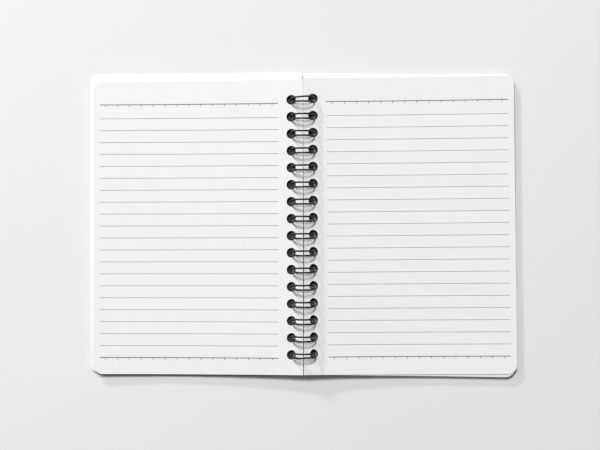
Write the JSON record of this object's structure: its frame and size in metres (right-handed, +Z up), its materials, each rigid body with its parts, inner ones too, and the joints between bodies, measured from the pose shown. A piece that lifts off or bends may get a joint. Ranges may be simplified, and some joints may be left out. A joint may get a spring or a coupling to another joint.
{
  "type": "spiral notebook",
  "caption": "Small ruled notebook lying open, with rounded outer page corners, dark card covers and a black twin-loop wire binding that the leaves and covers turn on.",
  "frame": {"origin": "on the surface that the open notebook lies on, under the middle of the spine", "axes": "+X right across the two pages, +Y towards the head of the pages, +Z up"},
  "size_m": [0.2106, 0.148, 0.0121],
  "materials": {
    "coated_wire": "black nylon-coated steel wire, semi-gloss",
    "front_card": "black through-dyed card, matt, slightly fibrous",
    "back_card": "dark brown card, matt, slightly fibrous",
    "leaf_paper": "white writing paper, matt, ruled in grey"
  },
  "bodies": {
    "binding": {"wire_binding": "coated_wire"},
    "front_cover": {"front_cover": "front_card"},
    "left_leaves": {"left_leaves": "leaf_paper"},
    "back_cover": {"back_cover": "back_card"},
    "right_leaves": {"right_leaves": "leaf_paper"}
  },
  "joints": [
    {"name": "front_cover_turn", "type": "hinge", "parent": "binding", "child": "front_cover", "pos_m": [0, 0, 0.0061], "axis": [0, 1, 0], "range_deg": [0, 180]},
    {"name": "left_leaves_turn", "type": "hinge", "parent": "front_cover", "child": "left_leaves", "pos_m": [0, 0, 0.0061], "axis": [0, 1, 0], "range_deg": [0, 180]},
    {"name": "back_cover_turn", "type": "hinge", "parent": "binding", "child": "back_cover", "pos_m": [0, 0, 0.0061], "axis": [0, -1, 0], "range_deg": [0, 180]},
    {"name": "right_leaves_turn", "type": "hinge", "parent": "back_cover", "child": "right_leaves", "pos_m": [0, 0, 0.0061], "axis": [0, -1, 0], "range_deg": [0, 180]}
  ]
}
